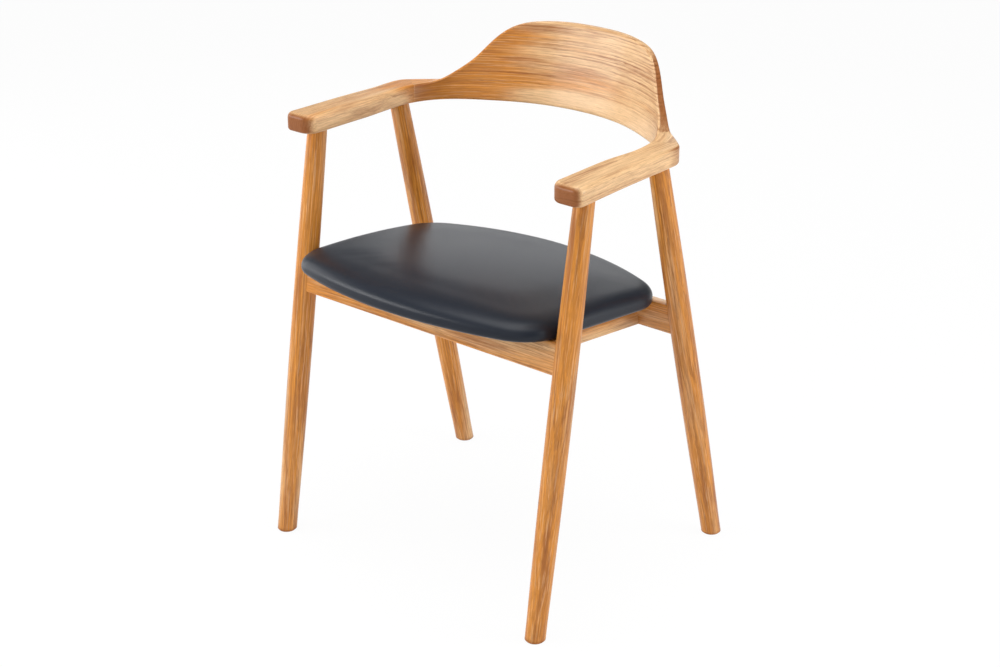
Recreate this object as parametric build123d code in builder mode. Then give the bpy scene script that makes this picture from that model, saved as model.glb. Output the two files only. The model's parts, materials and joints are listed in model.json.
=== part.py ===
from build123d import *
from math import atan, cos, radians, sin, tan
import os

# Oak armchair with a leather seat, in millimetres. +Z is up, the sitter looks towards -Y, and the origin
# lies on the floor under the middle of the chair.

os.makedirs("parts", exist_ok=True)

# ---- driving dimensions ------------------------------------------------------------------------------

# Arms
arm_underside = 634.0          # floor to the flat underside of the arms
arm_thickness = 28.0
arm_clear_width = 444.0        # between the inner faces of the two arms
arm_front_width = 54.5
arm_rear_width = 45.5
arm_toe = 2.5                  # how much further out the inner face stands at the front end
arm_front_y = -154.0           # front end of the arms
arm_end_inner_radius = 20.0    # round corners of the front end, in plan
arm_end_outer_radius = 12.0
arm_corner_radius = 30.0       # outer corner behind the rear leg, in plan
arm_straight = 115.0           # the inner face starts to curve this far ahead of the joint to the back
inner_swell = 4.5              # how far the inner face draws outward beside the rear leg
swell_reach = 30.0             # from the joint to the widest place of that swell
swell_at_joint = 0.3           # share of that swell which is left where the arm meets the back
edge_round = 4.5               # round-over along the arms and the back

# Legs: turned spindles, given by where their axes meet the floor and the arms
front_foot_y = -208.0
front_top_y = -110.5
rear_foot_y = 217.5
rear_top_y = 59.5
front_leg_inset = 29.5         # from the arm's inner face to the axis of the front leg
rear_leg_inset = 25.0
front_splay = 1.0              # how much further out the foot stands than the top of the leg
rear_splay = 10.5
foot_radius = 15.0
belly_radius = 17.2
belly_share = 0.48             # height of the thickest place, as a share of the leg
top_radius = 14.0              # reached a little above the underside of the arm
foot_round = 2.0
leg_tenon_radius = 9.0
leg_tenon_depth = 20.0

# Seat frame: four rails in one tilted plane
frame_height = 372.0           # floor to the underside of the frame, under the middle of the chair
seat_tilt = 5.5                # degrees, falling to the rear
rail_height = 47.0
rail_thickness = 22.0
rail_round = 2.0
side_rail_thickness = 20.0
side_rail_inset = 54.5         # from the inner side of the front leg to the outer face of a side rail
rail_tenon_thickness = 10.0
rail_tenon_margin = 8.0        # shoulder above and below the tenon
rail_tenon_depth = 22.0

# Backrest
back_rise = 124.0              # from the underside of the arms to the top of the back
back_bow = 125.4               # depth of the front face's curve, from the joints to the middle
back_thickness_low = 19.0
back_thickness_top = 12.0
back_lean = 15.0               # degrees
joint_inner_y = 69.0           # where the joint between arm and back meets the inner face
joint_angle = 33.0             # degrees between the joint and the X axis, in plan
joint_width = 41.5
inner_joint_turn = 15.0        # degrees by which the inner face has turned inward at the joint
outer_joint_turn = 45.0        # the same for the outer face
shoulder_reach = 2.0           # from the joint's inner corner to where the top edge starts to rise

# Curves of the back as (share of the half width, share of the depth or rise), from the joint to the middle
front_curve = ((0.926, 0.282), (0.667, 0.651), (0.391, 0.886), (0.0, 1.0))
rear_curve = ((0.837, 0.282), (0.661, 0.549), (0.389, 0.844), (0.0, 1.0))
shoulder_curve = ((0.926, 0.068), (0.886, 0.146), (0.795, 0.349), (0.700, 0.640), (0.587, 0.870),
                  (0.425, 0.967), (0.0, 1.0))
lean_at_shoulder = 0.8         # share of the full lean at the first point from the joint

# Cushion
seat_leg_gap = 2.3             # between the sides of the seat and the front legs
seat_front_overhang = 38.5     # from the front rail to the line through the seat's front corners
seat_rear_setback = 8.0        # from the rear rail forward to the line through the rear corners
front_bulge = 51.0             # sagitta of the front edge
rear_bulge = 60.0
side_bulge = 1.5
front_corner_radius = 74.0
rear_corner_radius = 70.0
cushion_crown = 42.5           # underside of the seat to the top of its crown
crown_radius = 2300.0
upper_roll = 14.0
lower_roll = 10.0
leather = 1.3
board_thickness = 10.0
board_inset = 12.0             # the board's edge inside the seat's outline
hem_width = 34.0               # leather turned under the board
hem_gap = 0.3

# Dowels, corner blocks, screws and staples
dowel_radius = 4.0
dowel_pitch = 18.0             # between the two dowels of the joint to the back
dowel_shift = 1.5              # both lie a little outward of the joint's middle
dowel_in_arm = 10.0
dowel_in_back = 16.0
rail_dowel_in_rail = 12.0
rail_dowel_in_side = 18.0
rail_dowel_levels = (12.0, 35.0)
block_leg = 60.0               # the two equal sides of a corner block
block_height = 28.0
seat_screw_offset = 18.0       # from both rails
seat_screw_radius = 2.5
seat_screw_head_radius = 5.0
seat_screw_length = 36.0
block_screw_offset = 36.0      # from the inner corner, along the rail
block_screw_level = 14.0       # above the underside of the block
block_screw_seat = 12.0        # wood between the head of a block screw and the rail
block_screw_radius = 2.0
block_screw_head_radius = 4.0
block_screw_length = 26.0
screw_head_height = 2.6
screw_pocket_radius = 5.5
hole_clearance = 0.25
staple_count = 32
staple_width = 10.0
staple_wire = 0.7
staple_leg = 8.0
staple_inset = 26.0            # from the seat's outline

# ---- derived places ----------------------------------------------------------------------------------

arm_inner = arm_clear_width / 2
arm_top = arm_underside + arm_thickness
back_top = arm_underside + back_rise
front_top_x = arm_inner + front_leg_inset
rear_top_x = arm_inner + rear_leg_inset

seat_plane = Plane(origin=(0, 0, frame_height), x_dir=(1, 0, 0),
                   z_dir=(0, sin(radians(seat_tilt)), cos(radians(seat_tilt))))
# Section through the frame: x runs rearward along the seat, y stands square to it
frame_section = Plane(origin=seat_plane.origin, x_dir=seat_plane.y_dir, z_dir=(1, 0, 0))

sides = {"left": -1, "right": 1}
ends = {"front": -1, "rear": 1}
corners = [(end, name) for end in ends for name in sides]
base_up = (Align.CENTER, Align.CENTER, Align.MIN)


def leg_ends(end, side):
    """Where a leg's axis meets the floor and the underside of the arm."""
    if end == "front":
        return (Vector(side * (front_top_x + front_splay), front_foot_y, 0),
                Vector(side * front_top_x, front_top_y, arm_underside))
    return (Vector(side * (rear_top_x + rear_splay), rear_foot_y, 0),
            Vector(side * rear_top_x, rear_top_y, arm_underside))


def leg_at(end, level):
    """A leg's distance from the middle plane and its place along the seat, at a level of the frame."""
    foot, top = (seat_plane.to_local_coords(point) for point in leg_ends(end, 1))
    place = foot + (top - foot) * ((level - foot.Z) / (top.Z - foot.Z))
    return place.X, place.Y


def rail_face(end, level, depth=0.0):
    """Place along the seat of a cross rail's inner face at a level, or of a point that deep in the rail."""
    slope = (leg_at(end, rail_height)[1] - leg_at(end, 0)[1]) / rail_height
    return leg_at(end, level)[1] + ends[end] * (depth - rail_thickness / 2) / cos(atan(slope))


side_rail_outer = leg_at("front", 0)[0] - belly_radius - side_rail_inset
side_rail_inner = side_rail_outer - side_rail_thickness
side_rail_middle = side_rail_outer - side_rail_thickness / 2

joint_direction = Vector(cos(radians(joint_angle)), sin(radians(joint_angle)), 0)
joint_normal = Vector(sin(radians(joint_angle)), -cos(radians(joint_angle)), 0)   # towards the arm
joint_inner = Vector(arm_inner + inner_swell * swell_at_joint, joint_inner_y, 0)
joint_outer = joint_inner + joint_direction * joint_width


def mirrored(side, point):
    """A plan point of the right-hand side, or its mirror image."""
    x, y, *_ = point
    return (side * x, y)


def seat_frame_plane(x, along, level, direction):
    """A plane at a place in the seat frame, facing a direction given in the frame's own axes."""
    return Plane(origin=seat_plane.from_local_coords(Vector(x, along, level)),
                 z_dir=seat_plane.from_local_coords(Vector(*direction)) - seat_plane.origin)


# ---- joinery, made first because the pieces are bored and cut to it -----------------------------------


def leg_blank(end, side):
    """A turned spindle without tenon or mortise, cut flat at the floor and at the arm."""
    foot, top = leg_ends(end, side)
    axis = (top - foot).normalized()
    across = Vector(0, 1, 0).cross(axis)
    length = (top - foot).length
    spare = 2 * foot_radius
    with BuildPart() as blank:
        with BuildSketch(Plane(origin=foot, x_dir=across, z_dir=across.cross(axis))):
            with BuildLine():
                Polyline((0, length + spare), (0, -spare), (foot_radius, -spare), (foot_radius, spare))
                ThreePointArc((foot_radius, spare), (belly_radius, length * belly_share),
                              (top_radius, length + spare))
                Line((top_radius, length + spare), (0, length + spare))
            make_face()
        revolve(axis=Axis(foot, axis))
        split(bisect_by=Plane.XY, keep=Keep.TOP)
        split(bisect_by=Plane.XY.offset(arm_underside), keep=Keep.BOTTOM)
        fillet(blank.edges().group_by(Axis.Z)[0], foot_round)
    return blank.part


def leg_tenon(end, side):
    """The round tenon on top of a leg, which ends flat inside the arm."""
    foot, top = leg_ends(end, side)
    with BuildPart() as tenon:
        with BuildSketch(Plane(origin=top, z_dir=top - foot).offset(-leg_tenon_depth)):
            Circle(leg_tenon_radius)
        extrude(amount=3 * leg_tenon_depth)
        split(bisect_by=Plane.XY.offset(arm_underside + leg_tenon_depth), keep=Keep.BOTTOM)
    return tenon.part


def rail_profile(end, trim, margin):
    """Corners of a cross rail's section, with its faces along the legs and its top along the seat."""
    low, high = margin, rail_height - margin
    return [(rail_face(end, low, trim), low), (rail_face(end, low, rail_thickness - trim), low),
            (rail_face(end, high, rail_thickness - trim), high), (rail_face(end, high, trim), high)]


def rail_tenons(end):
    """One long bar through a cross rail that ends as its two tenons."""
    reach = leg_at(end, rail_height / 2)[0] - belly_radius + rail_tenon_depth
    with BuildPart() as bar:
        with BuildSketch(frame_section):
            Polygon(*rail_profile(end, (rail_thickness - rail_tenon_thickness) / 2, rail_tenon_margin),
                    align=None)
        extrude(amount=reach, both=True)
    return bar.part


def back_dowels(side):
    """The two dowels between an arm and the back."""
    middle = joint_inner + joint_direction * (joint_width / 2 + dowel_shift)
    joint = Plane(origin=(side * middle.X, middle.Y, arm_underside + arm_thickness / 2),
                  x_dir=(side * joint_direction.X, joint_direction.Y, 0),
                  z_dir=(side * joint_normal.X, joint_normal.Y, 0))
    with BuildPart() as dowels:
        with Locations(joint.offset(-dowel_in_back)):
            with Locations((-dowel_pitch / 2, 0, 0), (dowel_pitch / 2, 0, 0)):
                Cylinder(dowel_radius, dowel_in_back + dowel_in_arm, align=base_up)
    return dowels.part


def side_rail_dowels(side):
    """The four dowels of a side rail, two at each end."""
    with BuildPart() as dowels:
        for end, outward in ends.items():
            for level in rail_dowel_levels:
                start = rail_face(end, level) + outward * rail_dowel_in_rail
                with Locations(seat_frame_plane(side * side_rail_middle, start, level, (0, -outward, 0))):
                    Cylinder(dowel_radius, rail_dowel_in_rail + rail_dowel_in_side, align=base_up)
    return dowels.part


block_bottom = rail_height - block_height


def seat_screw_place(end, name):
    """Plane under the head of a seat screw, facing up into the board."""
    x = sides[name] * (side_rail_inner - seat_screw_offset)
    along = rail_face(end, block_bottom + block_height / 2, -seat_screw_offset)
    return seat_frame_plane(x, along, block_bottom, (0, 0, 1))


def block_screw_places(end, name):
    """Planes under the heads of a block's two screws, facing the side rail and the cross rail."""
    side = sides[name]
    level = block_bottom + block_screw_level
    return [seat_frame_plane(side * (side_rail_inner - block_screw_seat),
                             rail_face(end, level, -block_screw_offset), level, (side, 0, 0)),
            seat_frame_plane(side * (side_rail_inner - block_screw_offset),
                             rail_face(end, level, -block_screw_seat), level, (0, ends[end], 0))]


def screws(places, radius, head_radius, length):
    """Round-headed screws, each a shank and a head on one plane."""
    with BuildPart() as group:
        with Locations(*places):
            Cylinder(radius, length, align=base_up)
            Cylinder(head_radius, screw_head_height, align=(Align.CENTER, Align.CENTER, Align.MAX))
    return group.part


blanks = {(end, name): leg_blank(end, sides[name]) for end, name in corners}
leg_tenons = {(end, name): leg_tenon(end, sides[name]) for end, name in corners}
cross_tenons = {end: rail_tenons(end) for end in ends}
joint_dowels = {name: back_dowels(side) for name, side in sides.items()}
rail_dowels = {name: side_rail_dowels(side) for name, side in sides.items()}
seat_screws = screws([seat_screw_place(*corner) for corner in corners],
                     seat_screw_radius, seat_screw_head_radius, seat_screw_length)
block_screws = screws([place for corner in corners for place in block_screw_places(*corner)],
                      block_screw_radius, block_screw_head_radius, block_screw_length)

# ---- legs --------------------------------------------------------------------------------------------

for end, name in corners:
    with BuildPart() as leg:
        add(blanks[end, name])
        add(leg_tenons[end, name])
        add(cross_tenons[end], mode=Mode.SUBTRACT)
    leg.part.label = f"{end}_leg_{name}"
    export_step(leg.part, f"parts/{leg.part.label}.step")

# ---- arms --------------------------------------------------------------------------------------------

outer_turn = radians(outer_joint_turn)
inner_turn = radians(inner_joint_turn)
arm_front_inner = (arm_inner + arm_toe, arm_front_y)
arm_front_outer = (arm_inner + arm_front_width, arm_front_y)
past_joint = arm_inner + arm_rear_width - joint_outer.X
arm_corner = (joint_outer.X + past_joint, joint_outer.Y - past_joint / tan(outer_turn))
swell_start = (arm_inner, joint_inner_y - arm_straight)

for name, side in sides.items():
    with BuildPart() as armrest:
        with BuildSketch(Plane.XY.offset(arm_underside)) as plan:
            with BuildLine():
                Line(mirrored(side, arm_front_inner), mirrored(side, arm_front_outer))
                FilletPolyline(mirrored(side, arm_front_outer), mirrored(side, arm_corner),
                               mirrored(side, joint_outer), radius=arm_corner_radius)
                Line(mirrored(side, joint_outer), mirrored(side, joint_inner))
                Spline(mirrored(side, joint_inner),
                       mirrored(side, (arm_inner + inner_swell, joint_inner_y - swell_reach)),
                       mirrored(side, swell_start),
                       tangents=((side * sin(inner_turn), -cos(inner_turn)),
                                 (side * arm_toe, arm_front_y - swell_start[1])),
                       tangent_scalars=(1, 1))
                Line(mirrored(side, swell_start), mirrored(side, arm_front_inner))
            make_face()
            end_corners = (arm_front_outer, arm_end_outer_radius), (arm_front_inner, arm_end_inner_radius)
            for corner, radius in end_corners:
                fillet(plan.vertices().sort_by_distance(mirrored(side, corner))[0], radius)
        extrude(amount=arm_thickness)
        joint_plane = Plane(origin=(0, 0, 0), z_dir=(side * joint_normal.X, joint_normal.Y, 0))
        joint_edges = armrest.faces().filter_by(joint_plane).edges()
        rims = armrest.faces().filter_by(Axis.Z).edges()
        fillet([edge for edge in rims if edge not in joint_edges], edge_round)
        add(leg_tenons["front", name], mode=Mode.SUBTRACT)
        add(leg_tenons["rear", name], mode=Mode.SUBTRACT)
        add(joint_dowels[name], mode=Mode.SUBTRACT)
    armrest.part.label = f"armrest_{name}"
    export_step(armrest.part, f"parts/{armrest.part.label}.step")

# ---- backrest ----------------------------------------------------------------------------------------


def back_edge(joint, middle_y, curve, lean):
    """Plan points of the back's front or rear face from the right-hand joint to the left-hand one."""
    right = [(joint.X, joint.Y)]
    for number, (width_share, depth_share) in enumerate(curve):
        shift = lean * (lean_at_shoulder if number == 0 else 1)
        right.append((joint.X * width_share, joint.Y + (middle_y - joint.Y) * depth_share + shift))
    return right + [(-x, y) for x, y in reversed(right[:-1])]


back_front_y = joint_inner.Y + back_bow
shoulder_x = joint_inner.X - shoulder_reach
shoulder = [(shoulder_x * width_share, arm_top + (back_top - arm_top) * rise_share)
            for width_share, rise_share in shoulder_curve]
shoulder_left = [(-x, z) for x, z in reversed(shoulder[:-1])]
crest = [(shoulder_x, arm_top)] + shoulder + shoulder_left + [(-shoulder_x, arm_top)]
front_tangents = (-sin(inner_turn), cos(inner_turn)), (-sin(inner_turn), -cos(inner_turn))
rear_tangents = (-sin(outer_turn), cos(outer_turn)), (-sin(outer_turn), -cos(outer_turn))

with BuildPart() as backrest:
    for rise in (0, back_rise + edge_round):
        lean = rise * tan(radians(back_lean))
        thinner = (back_thickness_low - back_thickness_top) * rise / back_rise
        front = back_edge(joint_inner, back_front_y, front_curve, lean)
        rear = back_edge(joint_outer, back_front_y + back_thickness_low, rear_curve, lean - thinner)
        with BuildSketch(Plane.XY.offset(arm_underside + rise)):
            with BuildLine():
                Spline(*front, tangents=front_tangents, tangent_scalars=(1, 1))
                Line(front[-1], rear[-1])
                Spline(*rear, tangents=rear_tangents, tangent_scalars=(1, 1))
                Line(rear[0], front[0])
            make_face()
    loft()
    with BuildSketch(Plane.XZ):
        with BuildLine():
            Spline(*crest, tangents=((-1, 0), (-1, 0)), tangent_scalars=(1, 1))
            Polyline(crest[-1], (-2 * joint_outer.X, arm_top), (-2 * joint_outer.X, 0),
                     (2 * joint_outer.X, 0), (2 * joint_outer.X, arm_top), crest[0])
        make_face()
    extrude(amount=2 * back_rise + 2 * back_bow, both=True, mode=Mode.INTERSECT)
    joint_edges = [edge for side in sides.values() for edge in backrest.faces().filter_by(
        Plane(origin=(0, 0, 0), z_dir=(side * joint_normal.X, joint_normal.Y, 0))).edges()]
    fillet([edge for edge in backrest.edges() if edge not in joint_edges], edge_round)
    for name in sides:
        add(joint_dowels[name], mode=Mode.SUBTRACT)
backrest.part.label = "backrest"
export_step(backrest.part, "parts/backrest.step")

# ---- rails -------------------------------------------------------------------------------------------

for end in ends:
    with BuildPart() as cross_rail:
        with BuildSketch(frame_section):
            Polygon(*rail_profile(end, 0, 0), align=None)
        extrude(amount=leg_at(end, rail_height / 2)[0], both=True)
        fillet(cross_rail.edges().filter_by(Axis.X), rail_round)
        for name in sides:
            add(blanks[end, name], mode=Mode.SUBTRACT)
        add(cross_tenons[end])
        for name in sides:
            add(rail_dowels[name], mode=Mode.SUBTRACT)
        add(block_screws, mode=Mode.SUBTRACT)
    cross_rail.part.label = f"{end}_rail"
    export_step(cross_rail.part, f"parts/{cross_rail.part.label}.step")

for name, side in sides.items():
    with BuildPart() as side_rail:
        with BuildSketch(frame_section.offset(side * side_rail_inner)):
            Polygon((rail_face("front", 0), 0), (rail_face("rear", 0), 0),
                    (rail_face("rear", rail_height), rail_height),
                    (rail_face("front", rail_height), rail_height), align=None)
        extrude(amount=side * side_rail_thickness)
        fillet(side_rail.edges().filter_by(Axis(seat_plane.origin, seat_plane.y_dir)), rail_round)
        add(rail_dowels[name], mode=Mode.SUBTRACT)
        add(block_screws, mode=Mode.SUBTRACT)
    side_rail.part.label = f"side_rail_{name}"
    export_step(side_rail.part, f"parts/{side_rail.part.label}.step")

# ---- corner blocks -----------------------------------------------------------------------------------

for end, name in corners:
    side = sides[name]
    low, high = block_bottom, rail_height
    far_low, far_high = rail_face(end, low, -block_leg), rail_face(end, high, -block_leg)
    slant_foot = seat_plane.from_local_coords(Vector(side * side_rail_inner, far_low, low))
    slant_top = seat_plane.from_local_coords(Vector(side * side_rail_inner, far_high, high))
    near_low = rail_face(end, low)
    slant_end = seat_plane.from_local_coords(Vector(side * (side_rail_inner - block_leg), near_low, low))
    inner_corner = seat_plane.from_local_coords(Vector(side * side_rail_inner, near_low, low))
    slant = Plane(origin=slant_foot, z_dir=(slant_top - slant_foot).cross(slant_end - slant_foot))
    toward_corner = slant.to_local_coords(inner_corner).Z > 0
    with BuildPart() as block:
        with BuildSketch(frame_section.offset(side * (side_rail_inner - block_leg))):
            Polygon((near_low, low), (rail_face(end, high), high), (far_high, high), (far_low, low),
                    align=None)
        extrude(amount=side * block_leg)
        split(bisect_by=slant, keep=Keep.TOP if toward_corner else Keep.BOTTOM)
        with Locations(seat_screw_place(end, name)):
            Cylinder(seat_screw_radius + hole_clearance, block_height, align=base_up, mode=Mode.SUBTRACT)
        with Locations(*block_screw_places(end, name)):
            Cylinder(block_screw_radius + hole_clearance, block_leg, align=base_up, mode=Mode.SUBTRACT)
            Cylinder(screw_pocket_radius, block_leg, align=(Align.CENTER, Align.CENTER, Align.MAX),
                     mode=Mode.SUBTRACT)
    block.part.label = f"corner_block_{end}_{name}"
    export_step(block.part, f"parts/{block.part.label}.step")

# ---- seat --------------------------------------------------------------------------------------------

seat_half_width = leg_at("front", rail_height)[0] - belly_radius - seat_leg_gap
seat_front = rail_face("front", rail_height, rail_thickness) - seat_front_overhang
seat_rear = rail_face("rear", rail_height) - seat_rear_setback
seat_middle = (seat_front - front_bulge + seat_rear + rear_bulge) / 2


def arc_radius(half_chord, sagitta):
    """Radius of an arc from half its chord and its height."""
    return (half_chord ** 2 + sagitta ** 2) / (2 * sagitta)


def seat_outline(inset):
    """The seat's outline drawn inward by an inset: four arcs with rounded corners."""
    middle = (seat_front + seat_rear) / 2
    front_radius = arc_radius(seat_half_width, front_bulge)
    rear_radius = arc_radius(seat_half_width, rear_bulge)
    side_radius = arc_radius((seat_rear - seat_front) / 2, side_bulge)
    with BuildSketch() as outline:
        with Locations((0, seat_front - front_bulge + front_radius)):
            Circle(front_radius - inset)
        with Locations((0, seat_rear + rear_bulge - rear_radius)):
            Circle(rear_radius - inset, mode=Mode.INTERSECT)
        for side in sides.values():
            with Locations((side * (seat_half_width + side_bulge - side_radius), middle)):
                Circle(side_radius - inset, mode=Mode.INTERSECT)
        fillet(outline.vertices().group_by(Axis.Y)[0], front_corner_radius - inset)
        fillet(outline.vertices().group_by(Axis.Y)[-1], rear_corner_radius - inset)
    return outline.sketch


def cushion(inset):
    """The cushion's outer shape drawn inward by an inset: a crowned slab with rolled edges."""
    outline = seat_outline(inset)
    with BuildPart() as body:
        with BuildSketch(seat_plane.offset(rail_height + inset)):
            add(outline)
        extrude(amount=cushion_crown)
        with Locations(seat_plane.offset(rail_height + cushion_crown - crown_radius)):
            with Locations((0, seat_middle, 0)):
                Sphere(crown_radius - inset, rotation=(90, 0, 0), mode=Mode.INTERSECT)
        layers = body.faces().sort_by(Axis(seat_plane.origin, seat_plane.z_dir))
        underside, crown = layers[0].edges(), layers[-1].edges()
        fillet(underside, lower_roll - inset)
        fillet(crown, upper_roll - inset)
    return body.part


cushion_outer = cushion(0)
cushion_inner = cushion(leather)
board_outline = seat_outline(board_inset)
hem_outline = seat_outline(hem_width)
cloth_outline = seat_outline(hem_width + hem_gap)
staple_path = seat_outline(staple_inset).faces()[0].outer_wire()
under_board = seat_plane.offset(rail_height)
on_hem = seat_plane.offset(rail_height + leather)

with BuildPart() as seat_board:
    with BuildSketch(on_hem):
        add(board_outline)
    extrude(amount=board_thickness)
board_blank = seat_board.part

with BuildPart() as seat_board:
    add(board_blank)
    add(seat_screws, mode=Mode.SUBTRACT)
seat_board.part.label = "seat_board"
export_step(seat_board.part, "parts/seat_board.step")

with BuildPart() as seat_foam:
    add(cushion_inner)
    add(board_blank, mode=Mode.SUBTRACT)
seat_foam.part.label = "seat_foam"
export_step(seat_foam.part, "parts/seat_foam.step")

with BuildPart() as seat_cover:
    add(cushion_outer)
    add(cushion_inner, mode=Mode.SUBTRACT)
    with BuildSketch(under_board):
        add(hem_outline)
    extrude(amount=leather, mode=Mode.SUBTRACT)
seat_cover.part.label = "seat_cover"
export_step(seat_cover.part, "parts/seat_cover.step")

with BuildPart() as dust_cover:
    with BuildSketch(under_board):
        add(cloth_outline)
    extrude(amount=leather)
    with Locations(*[seat_screw_place(*corner) for corner in corners]):
        Cylinder(seat_screw_radius + hole_clearance, 2 * rail_height, mode=Mode.SUBTRACT)
dust_cover.part.label = "dust_cover"
export_step(dust_cover.part, "parts/dust_cover.step")

staple_spots = []
for number in range(staple_count):
    share = number / staple_count
    spot, run = staple_path.position_at(share), staple_path.tangent_at(share)
    staple_spots.append(Plane(origin=spot, x_dir=run, z_dir=(0, 0, 1)).location)

with BuildPart() as cover_staples:
    with BuildSketch(under_board):
        with Locations(*staple_spots):
            Rectangle(staple_width, staple_wire)
    extrude(amount=staple_wire)
    with BuildSketch(under_board):
        with Locations(*staple_spots):
            with GridLocations(staple_width - staple_wire, 0, 2, 1):
                Rectangle(staple_wire, staple_wire)
    extrude(amount=staple_leg)
cover_staples.part.label = "cover_staples"
export_step(cover_staples.part, "parts/cover_staples.step")

# ---- dowels and screws -------------------------------------------------------------------------------

for name in sides:
    joint_dowels[name].label = f"back_joint_dowels_{name}"
    export_step(joint_dowels[name], f"parts/back_joint_dowels_{name}.step")
    rail_dowels[name].label = f"side_rail_dowels_{name}"
    export_step(rail_dowels[name], f"parts/side_rail_dowels_{name}.step")

seat_screws.label = "seat_screws"
export_step(seat_screws, "parts/seat_screws.step")
block_screws.label = "corner_block_screws"
export_step(block_screws, "parts/corner_block_screws.step")
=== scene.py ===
import json

import bpy
import numpy as np
from bpy.props import FloatProperty, FloatVectorProperty, IntProperty, PointerProperty
from bpy.types import Operator, Panel, PropertyGroup
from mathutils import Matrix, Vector


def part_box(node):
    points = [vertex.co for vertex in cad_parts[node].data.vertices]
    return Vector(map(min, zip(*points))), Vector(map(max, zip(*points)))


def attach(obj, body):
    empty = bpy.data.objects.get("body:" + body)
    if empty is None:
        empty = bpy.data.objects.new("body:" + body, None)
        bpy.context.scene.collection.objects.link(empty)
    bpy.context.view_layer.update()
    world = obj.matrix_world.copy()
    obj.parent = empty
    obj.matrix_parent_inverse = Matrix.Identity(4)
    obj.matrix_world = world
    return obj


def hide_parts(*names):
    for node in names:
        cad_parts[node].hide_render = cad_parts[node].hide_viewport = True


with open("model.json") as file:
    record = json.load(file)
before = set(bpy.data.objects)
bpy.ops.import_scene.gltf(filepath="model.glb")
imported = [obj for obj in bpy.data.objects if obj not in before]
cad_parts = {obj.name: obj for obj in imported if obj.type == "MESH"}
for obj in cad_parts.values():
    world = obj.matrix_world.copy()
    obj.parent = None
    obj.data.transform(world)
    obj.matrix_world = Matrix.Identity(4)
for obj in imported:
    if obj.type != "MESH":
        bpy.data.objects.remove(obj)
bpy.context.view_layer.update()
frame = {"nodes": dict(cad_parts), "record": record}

bl_info = {
    "name": "Oak armchair with a leather seat",
    "version": (1, 0, 0),
    "blender": (4, 5, 0),
    "location": "3D View > Sidebar > Armchair",
    "description": "Builds the wooden frame, the upholstered seat and a plain studio around them",
    "category": "Add Mesh",
}

SIDES = {"left": -1, "right": 1}
ENDS = {"front": -1, "rear": 1}

# Heights of the arms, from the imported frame
ARM_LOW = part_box("armrest_left")[0][2]
ARM_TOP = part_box("armrest_left")[1][2]
BACK_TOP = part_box("backrest")[1][2]

# Corners of the joint between the right arm and the back, in plan: inner face, then outer face
JOINT_INNER = np.array([0.22335, 0.0690])
JOINT_OUTER = np.array([0.25816, 0.0916])
JOINT_ALONG = (JOINT_OUTER - JOINT_INNER) / np.linalg.norm(JOINT_OUTER - JOINT_INNER)
INNER_TURN, OUTER_TURN = np.radians(15), np.radians(45)

# The seat frame lies in one tilted plane
SEAT_ORIGIN = np.array([0, 0, 0.372])
SEAT_TILT = np.radians(5.5)
SEAT_BACKWARD = np.array([0, np.cos(SEAT_TILT), -np.sin(SEAT_TILT)])
SEAT_UP = np.array([0, np.sin(SEAT_TILT), np.cos(SEAT_TILT)])
RAIL_HEIGHT, RAIL_THICKNESS = 0.047, 0.022
RAIL_END = 0.004               # how far a cross rail ends short of the middle of the leg's foot


# ---- curves and surfaces -----------------------------------------------------------------------------


def smooth_curve(knots, start, end, count):
    """Points along the cubic curve through the knots whose bending is continuous. Its parameter is the
    distance along the chords, and it sets off in the direction start and arrives in the direction end."""
    knots = np.asarray(knots, float)
    steps = np.linalg.norm(np.diff(knots, axis=0), axis=1)
    chords = np.diff(knots, axis=0) / steps[:, None]
    inner = np.arange(1, len(knots) - 1)
    system = np.zeros((len(knots), len(knots)))
    system[0, 0] = system[-1, -1] = 1
    system[inner, inner - 1] = steps[1:]
    system[inner, inner] = 2 * (steps[:-1] + steps[1:])
    system[inner, inner + 1] = steps[:-1]
    wanted = np.zeros_like(knots)
    wanted[0], wanted[-1] = start, end
    wanted[1:-1] = 3 * (steps[1:, None] * chords[:-1] + steps[:-1, None] * chords[1:])
    slopes = np.linalg.solve(system, wanted)
    reached = np.concatenate([[0], np.cumsum(steps)])
    travel = np.linspace(0, reached[-1], count)
    piece = np.clip(np.searchsorted(reached, travel, side="right") - 1, 0, len(steps) - 1)
    length = steps[piece][:, None]
    t = (travel - reached[piece])[:, None] / length
    return ((1 + 2 * t) * (1 - t) ** 2 * knots[piece] + t * (1 - t) ** 2 * length * slopes[piece]
            + t * t * (3 - 2 * t) * knots[piece + 1] - t * t * (1 - t) * length * slopes[piece + 1])


def corner_arc(before, corner, after, radius, count):
    """Points of the circle of that radius that touches both legs of a corner, from one leg to the
    other."""
    to_before = (before - corner) / np.linalg.norm(before - corner)
    to_after = (after - corner) / np.linalg.norm(after - corner)
    half = np.arccos(np.clip(to_before @ to_after, -1, 1)) / 2
    bisector = (to_before + to_after) / np.linalg.norm(to_before + to_after)
    centre = corner + bisector * radius / np.sin(half)
    start = corner + to_before * radius / np.tan(half) - centre
    end = corner + to_after * radius / np.tan(half) - centre
    sweep = np.arccos(np.clip(start @ end / radius ** 2, -1, 1))
    t = np.linspace(0, 1, count)[:, None]
    return centre + (np.sin((1 - t) * sweep) * start + np.sin(t * sweep) * end) / np.sin(sweep)


def evenly(points, count, closed=False):
    """The same line with its points at equal distances."""
    line = np.vstack([points, points[:1]]) if closed else np.asarray(points)
    reached = np.concatenate([[0], np.cumsum(np.linalg.norm(np.diff(line, axis=0), axis=1))])
    travel = np.linspace(0, reached[-1], count, endpoint=not closed)
    return np.stack([np.interp(travel, reached, line[:, axis]) for axis in range(line.shape[1])], axis=1)


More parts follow.
